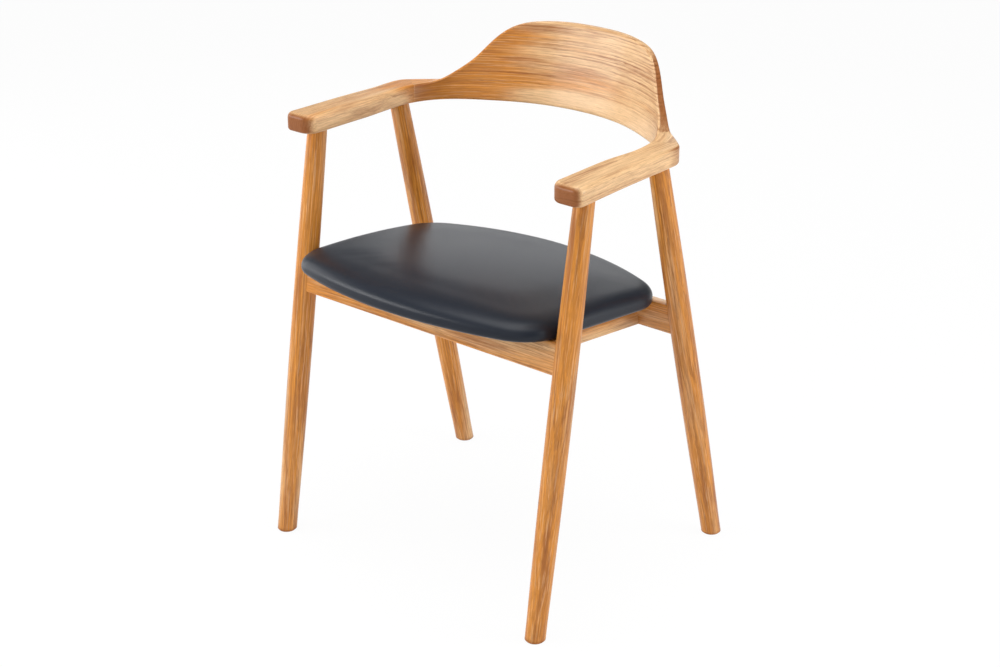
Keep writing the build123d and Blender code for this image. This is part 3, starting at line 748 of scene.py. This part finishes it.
def crest_height(x):
    """Height of the back's top edge over a distance from the middle plane: a smooth S from the level of
    the arms up to the crown and down again."""
    shoulder = [(SHOULDER_X * across, ARM_TOP + (BACK_TOP - ARM_TOP) * up) for across, up in SHOULDER_CURVE]
    knots = [(SHOULDER_X, ARM_TOP)] + shoulder + [(-a, z) for a, z in reversed(shoulder[:-1])] + [
        (-SHOULDER_X, ARM_TOP)]
    line = smooth_curve(knots, (-1, 0), (-1, 0), 900)[::-1]
    return np.interp(x, line[:, 0], line[:, 1])


# The grain climbs a little along the board, and the board's own place lies off its pith
BOARD_SLOPE = 0.015
BOARD_PITH = np.array([1.3, 0.40, -0.05])


def back_rings(sizes, stations=260, faces=22, flats=7):
    """Sections of the back from the right joint to the left one. A section runs across the thickness from
    the front line to the rear line, both found between the lower and the upper plan line by height. It
    goes up the front face, over the top, whose height is the crest over each point, down the rear face
    and along the underside, and a quarter circle rounds each corner, stretched where the crest is steep.
    The second result is the place of each point in the bent board: how far along it, how high and how
    deep behind its front face."""
    rise = BACK_TOP - ARM_LOW + sizes.joint_round
    lines = []
    for lift in (0, rise):
        thinner = (sizes.back_low - sizes.back_high) * lift / (BACK_TOP - ARM_LOW)
        middle = JOINT_INNER[1] + BACK_BOW
        lines.append((back_line(JOINT_INNER, middle, FRONT_CURVE, lift * LEAN, INNER_TURN, stations),
                      back_line(JOINT_OUTER, middle + sizes.back_low, REAR_CURVE, lift * LEAN - thinner,
                                OUTER_TURN, stations)))

    def place(share, height):
        """Plan place at a share of the thickness and a height."""
        up = ((height - ARM_LOW) / rise)[..., None]
        front = lines[0][0][:, None] * (1 - up) + lines[1][0][:, None] * up
        rear = lines[0][1][:, None] * (1 - up) + lines[1][1][:, None] * up
        return front + (rear - front) * share[..., None]

    def top_at(share):
        """Height of the crest over a share of the thickness, found by going up and looking again."""
        height = np.full(share.shape, ARM_TOP)
        for _ in range(6):
            height = crest_height(place(share, height)[..., 0])
        return height

    r = sizes.joint_round
    quarter, drop = round_over(r, 6)
    one = np.ones((stations, 1))
    width = np.linalg.norm(place(one, one * ARM_TOP) - place(one * 0, one * ARM_TOP), axis=-1)
    near = quarter / width
    across = np.concatenate([near, near[:, -1:] + (1 - 2 * near[:, -1:]) * np.linspace(0, 1, flats)[1:-1],
                             1 - near[:, ::-1]], axis=1)
    sunk = np.concatenate([drop, np.zeros(flats - 2), drop[::-1]])
    crest = top_at(across)
    run = np.linalg.norm(np.gradient(lines[1][0], axis=0), axis=1)
    steep = np.sqrt(1 + (np.gradient(crest[:, crest.shape[1] // 2]) / run) ** 2)[:, None]
    over = crest - sunk * np.minimum(steep, 1.8)
    under = ARM_LOW + sunk * one
    climb = np.linspace(0, 1, faces)[1:-1]
    front = under[:, :1] + (over[:, :1] - under[:, :1]) * climb
    rear = over[:, -1:] + (under[:, -1:] - over[:, -1:]) * climb
    heights = np.concatenate([front, over, rear, under[:, ::-1]], axis=1)
    shares = np.concatenate([front * 0, across, rear * 0 + 1, across[:, ::-1]], axis=1)
    middle = (lines[0][0] + lines[0][1]) / 2
    along = np.concatenate([[0], np.cumsum(np.linalg.norm(np.diff(middle, axis=0), axis=1))])
    board = np.stack([along[:, None] + heights * 0, heights + along[:, None] * BOARD_SLOPE,
                      shares * width], axis=-1)
    return np.concatenate([place(shares, heights), heights[..., None]], axis=-1), board


class ARMCHAIR_OT_back(Operator):
    """The curved back, cut from the solid with level grain"""
    bl_idname = "armchair.back"
    bl_label = "Back"

    def execute(self, context):
        sizes, wood = context.scene.armchair_frame, context.scene.armchair_wood
        oak = make_oak("back_oak", wood, wood.spacing * 1.1, figure=1.2, flame=0.60, warmth=0.26)
        rings, board = back_rings(sizes)
        piece = closed_skin("shaped_backrest", rings)
        points = mesh_points(piece)
        give_grain(piece, board.reshape(-1, 3) - BOARD_PITH, joint_ends_and_shade(points, mesh_normals(piece)),
                   joint_heart_and_shade(points), back_calm(points))
        finish_piece(piece, oak, "oak_back", "backrest")
        return {"FINISHED"}


# ---- rails -------------------------------------------------------------------------------------------


def in_seat_plane(x, along, level):
    """Places given by their distance to the right, rearward along the seat and square to it."""
    x, along, level = np.broadcast_arrays(x, along, level)
    return (SEAT_ORIGIN + x[..., None] * (1, 0, 0) + along[..., None] * SEAT_BACKWARD
            + level[..., None] * SEAT_UP)


def rounded_section(corners, radius, count=6):
    """A four-cornered section with an arc at each corner, as one closed line."""
    corners = np.asarray(corners, float)
    return np.vstack([corner_arc(corners[k - 1], corners[k], corners[(k + 1) % 4], radius, count)
                      for k in range(4)])


def leg_along(end, level):
    """How far rearward along the seat a leg's axis is, at a level above the frame's underside."""
    foot, top = leg_axis(end, 1)
    start, run = foot - SEAT_ORIGIN, top - foot
    share = (level - start @ SEAT_UP) / (run @ SEAT_UP)
    return start @ SEAT_BACKWARD + run @ SEAT_BACKWARD * share


def rail_face(end, level, depth=0.0):
    """Place along the seat of a cross rail's inner face at a level, or of a point that deep in the
    rail."""
    slope = (leg_along(end, RAIL_HEIGHT) - leg_along(end, 0)) / RAIL_HEIGHT
    return leg_along(end, level) + ENDS[end] * (depth - RAIL_THICKNESS / 2) * np.sqrt(1 + slope ** 2)


class ARMCHAIR_OT_rails(Operator):
    """Four rails under the seat"""
    bl_idname = "armchair.rails"
    bl_label = "Rails"

    def execute(self, context):
        sizes, wood = context.scene.armchair_frame, context.scene.armchair_wood
        # The rails' oak is kept warm and dark, a painted shade for their place under the seat
        oak = make_oak("rail_oak", wood, wood.spacing * 0.9, figure=1.1, flame=0.6, warmth=0.72)
        for end in ENDS:
            reach = leg_axis(end, 1)[0][0] - RAIL_END
            section = rounded_section([(rail_face(end, 0), 0), (rail_face(end, 0, RAIL_THICKNESS), 0),
                                       (rail_face(end, RAIL_HEIGHT, RAIL_THICKNESS), RAIL_HEIGHT),
                                       (rail_face(end, RAIL_HEIGHT), RAIL_HEIGHT)], sizes.rail_round)
            x = np.linspace(-reach, reach, 30)[:, None]
            piece = closed_skin(f"planed_{end}_rail", in_seat_plane(x, section[:, 0], section[:, 1]), 40)
            pith = (2.0 + ENDS[end], ENDS[end] * 0.1, 0.33)
            give_grain(piece, straight_grain(piece, (1, 0, 0.012), pith, (0, 0.5, 1)),
                       np.abs(mesh_normals(piece)[:, 0]))
            finish_piece(piece, oak, "oak_rails", f"{end}_rail")
        low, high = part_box("side_rail_right")[0][0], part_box("side_rail_right")[1][0]
        for name, side in SIDES.items():
            section = rounded_section([(low, 0), (high, 0), (high, RAIL_HEIGHT), (low, RAIL_HEIGHT)],
                                      sizes.rail_round)
            t = np.linspace(0, 1, 20)[:, None]
            start, stop = rail_face("front", section[:, 1]), rail_face("rear", section[:, 1])
            rings = in_seat_plane(side * section[:, 0], start + (stop - start) * t, section[:, 1])
            piece = closed_skin(f"planed_side_rail_{name}", rings, 40)
            pith = (side * 0.1, 1.5 + side, 0.34)
            give_grain(piece, straight_grain(piece, (0, 1, -0.09), pith, (0.4 * side, 0, 1)),
                       np.abs(mesh_normals(piece)[:, 1]) * 0.5)
            finish_piece(piece, oak, "oak_rails", f"side_rail_{name}")
        return {"FINISHED"}


# ---- seat --------------------------------------------------------------------------------------------

SEAT_HALF = 0.2323
FRONT_LINE = rail_face("front", RAIL_HEIGHT, RAIL_THICKNESS) - 0.0385
REAR_LINE = rail_face("rear", RAIL_HEIGHT) - 0.008
FRONT_BULGE, REAR_BULGE, SIDE_BULGE = 0.051, 0.060, 0.0015
SEAT_MIDDLE = (FRONT_LINE - FRONT_BULGE + REAR_LINE + REAR_BULGE) / 2
CORNER_RADII = (0.069, 0.069, 0.070, 0.070)
CROWN_RADIUS = 2.3
SEAT_GAP = 0.0004              # between the rails and the underside of the pad


def bulging_line(start, end, bulge, count):
    """Points of the circle through start and end that bulges to the right of the way between them."""
    start, end = np.asarray(start, float), np.asarray(end, float)
    half = np.linalg.norm(end - start) / 2
    along = (end - start) / (2 * half)
    out = np.array([along[1], -along[0]])
    radius = (half ** 2 + bulge ** 2) / (2 * bulge)
    reach = np.arcsin(half / radius)
    angle = np.linspace(-reach, reach, count)[:, None]
    outward = radius * np.cos(angle) - radius + bulge
    return (start + end) / 2 + along * radius * np.sin(angle) + out * outward


def seat_outline(count=440):
    """The seat in the tilted plane, anticlockwise: four circles whose corners are rounded by circles that
    touch both neighbours. The corner is found on lines moved inward by its radius, where they cross."""
    half = SEAT_HALF
    spots = [(-half, FRONT_LINE), (half, FRONT_LINE), (half, REAR_LINE), (-half, REAR_LINE)]
    bulges = (FRONT_BULGE, SIDE_BULGE, REAR_BULGE, SIDE_BULGE)
    sides = [bulging_line(spots[k], spots[(k + 1) % 4], bulges[k], 1500) for k in range(4)]
    arcs = []
    cuts = []
    for k in range(4):
        before, after = sides[k - 1], sides[k]
        inner_before = before + inward(before) * CORNER_RADII[k]
        inner_after = after + inward(after) * CORNER_RADII[k]
        gaps = np.linalg.norm(inner_before[:, None] - inner_after[None], axis=2)
        i, j = np.unravel_index(np.argmin(gaps), gaps.shape)
        centre = (inner_before[i] + inner_after[j]) / 2
        first, last = before[i] - centre, after[j] - centre
        start, stop = np.arctan2(first[1], first[0]), np.arctan2(last[1], last[0])
        turn = np.linspace(start, start + (stop - start) % (2 * np.pi), 80)
        arcs.append(centre + CORNER_RADII[k] * np.stack([np.cos(turn), np.sin(turn)], axis=1))
        cuts.append((i, j))
    line = []
    for k in range(4):
        line += [arcs[k], sides[k][cuts[k][1] + 1:cuts[(k + 1) % 4][0]]]
    return evenly(np.vstack(line), count, closed=True)


def slow_round(values, reach):
    """Values round a closed line, each replaced by the weighted mean of those within its reach on both
    sides."""
    weights = np.hanning(2 * reach + 1)
    return np.convolve(np.tile(values, 3), weights / weights.sum(), "same")[len(values):2 * len(values)]


def cushion_rings(seat, inset, base):
    """Sections of the pad from the middle of its underside to the top of its crown, as (x, along, level).
    The outline moves inward along a quarter circle at the lower roll. At the upper one it moves inward by
    one minus the two-thirds power of the cosine while it rises by the sine, which runs into the crown, a
    sphere, without a change of bending."""
    outline = seat_outline()
    normal = inward(outline, closed=True)
    centre = np.array([0, SEAT_MIDDLE])

    def ring(distance, level_of):
        line = outline + normal * (inset + distance)
        return np.concatenate([line, level_of(line)[:, None]], axis=1)

    def crown(line, sunk=0.0):
        far = ((line - centre) ** 2).sum(axis=1)
        return RAIL_HEIGHT + seat.crown - inset - sunk - (CROWN_RADIUS - np.sqrt(CROWN_RADIUS ** 2 - far))

    foot = RAIL_HEIGHT + base
    quarter, drop = round_over(seat.lower_roll, 8)
    turned = [ring(q, lambda line, d=d: np.full(len(line), foot + d))
              for q, d in zip(quarter[::-1], drop[::-1], strict=True)]
    middle = np.array([0, SEAT_MIDDLE, foot])
    rings = [middle + (turned[0] - middle) * share for share in (0.04, 0.2, 0.4, 0.6, 0.8, 0.92)] + turned
    turn = np.linspace(0, np.pi / 2, 22)
    quarter, drop = 1 - np.cos(turn) ** (2 / 3), 1 - np.sin(turn)
    lower = rings[-1][:, 2]
    ahead = slow_round(smooth_step(0.60, 1.0, normal[:, 1]), 80)
    wide = seat.rear_roll + (seat.roll_width - seat.rear_roll) * ahead
    tall = seat.upper_roll + (seat.front_roll - seat.upper_roll) * ahead
    upper = ring(0.0, lambda line: crown(line, tall))[:, 2]
    for share in (0.33, 0.66):
        rings.append(ring(0.0, lambda line, share=share: lower + (upper - lower) * share))
    for q, d in zip(quarter, drop, strict=True):
        rings.append(ring((q * wide)[:, None], lambda line, d=d: crown(line, d * tall)))
    last = rings[-1][:, :2]
    for share in np.linspace(1, 0.03, 26)[1:]:
        line = centre + (last - centre) * share
        rings.append(np.concatenate([line, crown(line)[:, None]], axis=1))
    return np.array(rings)


def settle(piece):
    """Gives a piece the mesh that its modifiers make of it, and takes them off."""
    shaped = piece.evaluated_get(bpy.context.evaluated_depsgraph_get())
    mesh = bpy.data.meshes.new_from_object(shaped)
    piece.modifiers.clear()
    piece.data = mesh


def evened(piece, values, rounds):
    """Values at the vertices, each replaced by the mean of itself and its neighbours along the edges,
    again and again."""
    edges = np.empty(len(piece.data.edges) * 2, np.int32)
    piece.data.edges.foreach_get("vertices", edges)
    ends = np.concatenate([edges.reshape(-1, 2), edges.reshape(-1, 2)[:, ::-1]])
    count = len(values)
    beside = np.bincount(ends[:, 0], minlength=count)[:, None] + 1
    for _ in range(rounds):
        near = [np.bincount(ends[:, 0], values[ends[:, 1], axis], count) for axis in range(values.shape[1])]
        values = (values + np.stack(near, axis=1)) / beside
    return values


def nearest(points, others):
    """For each point, the number of the nearest of the others."""
    size = (others ** 2).sum(axis=1)
    parts = np.array_split(points, 60)
    return np.concatenate([(size - 2 * part @ others.T).argmin(axis=1) for part in parts])


# Rounds of smoothing: of the skin's movement, of the tucks that stay, and of the movement on the pad
MOVE_ROUNDS, TUCK_ROUNDS, PAD_ROUNDS = 60, 2, 12


def swell(piece, seat):
    """Fills the pad like leather over foam. A copy of the skin is remeshed evenly, held where it is
    stapled and, less and less, up the roll, and pressed outward from inside for some steps. Its movement,
    smoothed and kept below the greatest travel, goes to the nearest points of the pad with a small share
    of the tucks."""
    copy = piece.copy()
    copy.data = piece.data.copy()
    bpy.context.scene.collection.objects.link(copy)
    even = copy.modifiers.new("remesh", "REMESH")
    even.mode, even.voxel_size = "VOXEL", seat.voxel
    settle(copy)
    start = mesh_points(copy)
    level = (start - SEAT_ORIGIN) @ SEAT_UP - RAIL_HEIGHT
    tilt = mesh_normals(copy) @ SEAT_UP
    hold = np.round(np.where(level < seat.lower_roll * 0.5, 1.0, 0.8 * smooth_step(0.97, 0.55, tilt)), 1)
    held = copy.vertex_groups.new(name="held")
    for share in np.unique(hold[hold > 0]):
        held.add(np.flatnonzero(hold == share).tolist(), float(share), "REPLACE")
    cloth = copy.modifiers.new("cloth", "CLOTH")
    cloth.settings.quality = 6
    cloth.settings.mass = 0.4
    cloth.settings.tension_stiffness = cloth.settings.compression_stiffness = 12
    cloth.settings.shear_stiffness = 8
    cloth.settings.bending_stiffness = 2.0
    cloth.settings.vertex_group_mass = "held"
    cloth.settings.use_pressure = True
    cloth.settings.uniform_pressure_force = seat.pressure
    cloth.settings.effector_weights.gravity = 0
    cloth.collision_settings.use_collision = False
    cloth.point_cache.frame_start, cloth.point_cache.frame_end = 1, seat.frames
    for frame_number in range(1, seat.frames + 1):
        bpy.context.scene.frame_set(frame_number)
    settle(copy)
    bpy.context.scene.frame_set(1)
    move = mesh_points(copy) - start
    smooth = evened(copy, move, MOVE_ROUNDS)
    move = smooth + seat.tucks * (evened(copy, move, TUCK_ROUNDS) - smooth)
    far = np.linalg.norm(move, axis=1)[:, None]
    move *= np.minimum(1, seat.travel / np.maximum(far, 1e-9))
    points = mesh_points(piece)
    points += evened(piece, move[nearest(points, start)], PAD_ROUNDS)
    piece.data.vertices.foreach_set("co", points.ravel())
    piece.data.update()
    bpy.data.objects.remove(copy)


class ARMCHAIR_OT_seat(Operator):
    """The upholstered seat: a pad of leather filled by pressure"""
    bl_idname = "armchair.seat"
    bl_label = "Seat"

    def execute(self, context):
        seat = context.scene.armchair_seat
        rings = cushion_rings(seat, seat.start_inset, SEAT_GAP)
        piece = closed_skin("leather_seat", in_seat_plane(rings[..., 0], rings[..., 1], rings[..., 2]), 80)
        # The pad's own rows are dense enough to need no subdivision
        swell(piece, seat)
        piece.data.shade_smooth()
        finish_piece(piece, make_leather("seat_leather", seat), "seat_leather", "seat_cover", "seat_foam")
        return {"FINISHED"}


# ---- carried-over nodes ------------------------------------------------------------------------------


class ARMCHAIR_OT_fittings(Operator):
    """Materials of the hidden wood, the screws, the staples and the cloth under the seat"""
    bl_idname = "armchair.fittings"
    bl_label = "Blocks and fittings"

    def execute(self, context):
        beech = make_plain_wood("beech", (0.60, 0.42, 0.25))
        zinc = make_metal("zinc_plate", (0.62, 0.62, 0.64), 0.30)
        wire = make_metal("staple_wire", (0.70, 0.70, 0.72), 0.22)
        finishes = {"seat_board": make_plain_wood("plywood", (0.58, 0.44, 0.29)),
                    "seat_foam": make_foam("seat_foam", (0.75, 0.71, 0.56)),
                    "dust_cover": make_cloth("dust_cloth", (0.020, 0.020, 0.022)),
                    "cover_staples": wire, "seat_screws": zinc, "corner_block_screws": zinc}
        for node, piece in frame["nodes"].items():
            if "block_" in node and "screws" not in node or "dowels" in node:
                finishes[node] = beech
            if node in finishes:
                piece.data.materials.clear()
                piece.data.materials.append(finishes[node])
        return {"FINISHED"}


# ---- studio ------------------------------------------------------------------------------------------


FLOOR_REACH, FLOOR_WHITE = 9, 0.95
LAMP_AIM = (0, 0, 0.42)
# Each lamp's place, width and height
LAMPS = {"left": ((-1.74, -1.93, 1.25), 2.4, 0.9), "side": ((-2.70, -0.20, 1.00), 1.4, 1.8),
         "right": ((2.35, 1.10, 1.00), 1.4, 2.0), "front": ((1.30, -2.60, 1.70), 3.2, 2.4),
         "back": ((-1.54, 2.16, 0.94), 1.3, 0.5), "top": ((0.2, -0.2, 2.9), 2.2, 2.2)}
CAMERA_PLACE, CAMERA_AIM = Vector((1.7519, -2.0320, 1.4614)), Vector((-0.0105, 0.0226, 0.3237))


def seen_white(tree, surface, brightness, *extra):
    """Mixes a surface with white light for the camera and for the extra kinds of ray."""
    nodes, links = tree.nodes, tree.links
    path = nodes.new("ShaderNodeLightPath")
    seen = path.outputs["Is Camera Ray"]
    for kind in extra:
        either = nodes.new("ShaderNodeMath")
        either.operation = "MAXIMUM"
        links.new(seen, either.inputs[0])
        links.new(path.outputs[kind], either.inputs[1])
        seen = either.outputs[0]
    shown = nodes.new("ShaderNodeMath")
    shown.operation = "MULTIPLY"
    links.new(seen, shown.inputs[0])
    shown.inputs[1].default_value = brightness
    white = nodes.new("ShaderNodeEmission")
    white.inputs["Color"].default_value = (1, 1, 1, 1)
    mixed = nodes.new("ShaderNodeMixShader")
    links.new(shown.outputs[0], mixed.inputs[0])
    links.new(surface, mixed.inputs[1])
    links.new(white.outputs[0], mixed.inputs[2])
    return mixed.outputs[0]


def soft_lamp(name, place, aim, width, height, power):
    """A flat lamp at a place, facing another."""
    light = bpy.data.lights.new(name, "AREA")
    light.shape, light.size, light.size_y, light.energy = "RECTANGLE", width, height, power
    lamp = bpy.data.objects.new(name, light)
    lamp.location = place
    lamp.rotation_euler = (Vector(aim) - Vector(place)).to_track_quat("-Z", "Y").to_euler()
    bpy.context.scene.collection.objects.link(lamp)
    return lamp


class ARMCHAIR_OT_studio(Operator):
    """A pale floor, a white surround, soft lamps and the camera"""
    bl_idname = "armchair.studio"
    bl_label = "Studio"

    def execute(self, context):
        studio, scene = context.scene.armchair_studio, context.scene
        mesh = bpy.data.meshes.new("studio_floor")
        corners = [(x * FLOOR_REACH, y * FLOOR_REACH, 0) for x, y in ((-1, -1), (1, -1), (1, 1), (-1, 1))]
        mesh.from_pydata(corners, [], [(0, 1, 2, 3)])
        floor = bpy.data.objects.new("studio_floor", mesh)
        scene.collection.objects.link(floor)
        paint = bpy.data.materials.new("floor_paint")
        paint.use_nodes = True
        tree = paint.node_tree
        tree.nodes.remove(tree.nodes["Principled BSDF"])
        matt = tree.nodes.new("ShaderNodeBsdfDiffuse")
        matt.inputs["Color"].default_value = (0.86, 0.86, 0.86, 1)
        shown = seen_white(tree, matt.outputs[0], FLOOR_WHITE, "Is Glossy Ray", "Is Transmission Ray")
        tree.links.new(shown, tree.nodes["Material Output"].inputs["Surface"])
        mesh.materials.append(paint)

        world = bpy.data.worlds.new("studio")
        world.use_nodes = True
        scene.world = world
        tree = world.node_tree
        way = tree.nodes.new("ShaderNodeTexCoord")
        part = tree.nodes.new("ShaderNodeSeparateXYZ")
        tree.links.new(way.outputs["Generated"], part.inputs[0])
        height = tree.nodes.new("ShaderNodeValToRGB")
        line = height.color_ramp
        line.interpolation = "EASE"
        tree.links.new(part.outputs["Z"], height.inputs[0])
        # Shares of the fill by height, from the horizon at 0 to straight up at 1
        shares = ((0.06, studio.horizon), (0.36, studio.wall), (0.66, studio.ceiling), (1.0, studio.zenith))
        while len(line.elements) < len(shares):
            line.elements.new(0.5)
        for stop, (position, share) in zip(line.elements, shares, strict=True):
            stop.position = position
            stop.color = (studio.fill * share,) * 3 + (1,)
        sky = tree.nodes["Background"]
        sky.inputs["Color"].default_value = (1, 1, 1, 1)
        tree.links.new(height.outputs[0], sky.inputs["Strength"])
        shown = seen_white(tree, sky.outputs[0], 1.0, "Is Transmission Ray")
        tree.links.new(shown, tree.nodes["World Output"].inputs["Surface"])

        for name, (place, width, height) in LAMPS.items():
            power = getattr(studio, f"{name}_power")
            soft_lamp(f"{name}_lamp", place, LAMP_AIM, width, height, power)

        camera = bpy.data.cameras.new("camera")
        camera.lens = studio.lens
        camera.sensor_width = 36
        viewer = bpy.data.objects.new("camera", camera)
        viewer.location = CAMERA_PLACE
        viewer.rotation_euler = (CAMERA_AIM - CAMERA_PLACE).to_track_quat("-Z", "Y").to_euler()
        scene.collection.objects.link(viewer)
        scene.camera = viewer
        scene.view_settings.view_transform = "Standard"
        return {"FINISHED"}


# ---- add-on ------------------------------------------------------------------------------------------

STEPS = (ARMCHAIR_OT_legs, ARMCHAIR_OT_arms, ARMCHAIR_OT_back, ARMCHAIR_OT_rails, ARMCHAIR_OT_seat,
         ARMCHAIR_OT_fittings, ARMCHAIR_OT_studio)


class ARMCHAIR_PT_sidebar(Panel):
    """Buttons for the steps and their settings"""
    bl_label = "Armchair"
    bl_idname = "ARMCHAIR_PT_sidebar"
    bl_space_type = "VIEW_3D"
    bl_region_type = "UI"
    bl_category = "Armchair"

    def draw(self, context):
        for step in STEPS:
            self.layout.operator(step.bl_idname)
        for name, group in GROUPS.items():
            box = self.layout.box()
            for key in group.__annotations__:
                box.prop(getattr(context.scene, name), key)


GROUPS = {"armchair_wood": ARMCHAIR_PG_wood, "armchair_frame": ARMCHAIR_PG_frame,
          "armchair_seat": ARMCHAIR_PG_seat, "armchair_studio": ARMCHAIR_PG_studio}


def register():
    """Makes the settings, the steps and the panel known to Blender."""
    for name, group in GROUPS.items():
        bpy.utils.register_class(group)
        setattr(bpy.types.Scene, name, PointerProperty(type=group))
    for made in STEPS + (ARMCHAIR_PT_sidebar,):
        bpy.utils.register_class(made)


def unregister():
    """Takes them away again."""
    for made in (ARMCHAIR_PT_sidebar,) + STEPS[::-1]:
        bpy.utils.unregister_class(made)
    for name, group in GROUPS.items():
        delattr(bpy.types.Scene, name)
        bpy.utils.unregister_class(group)


def main():
    """Builds everything in order."""
    register()
    for step in STEPS:
        group, name = step.bl_idname.split(".")
        getattr(getattr(bpy.ops, group), name)()


if __name__ == "__main__":
    main()
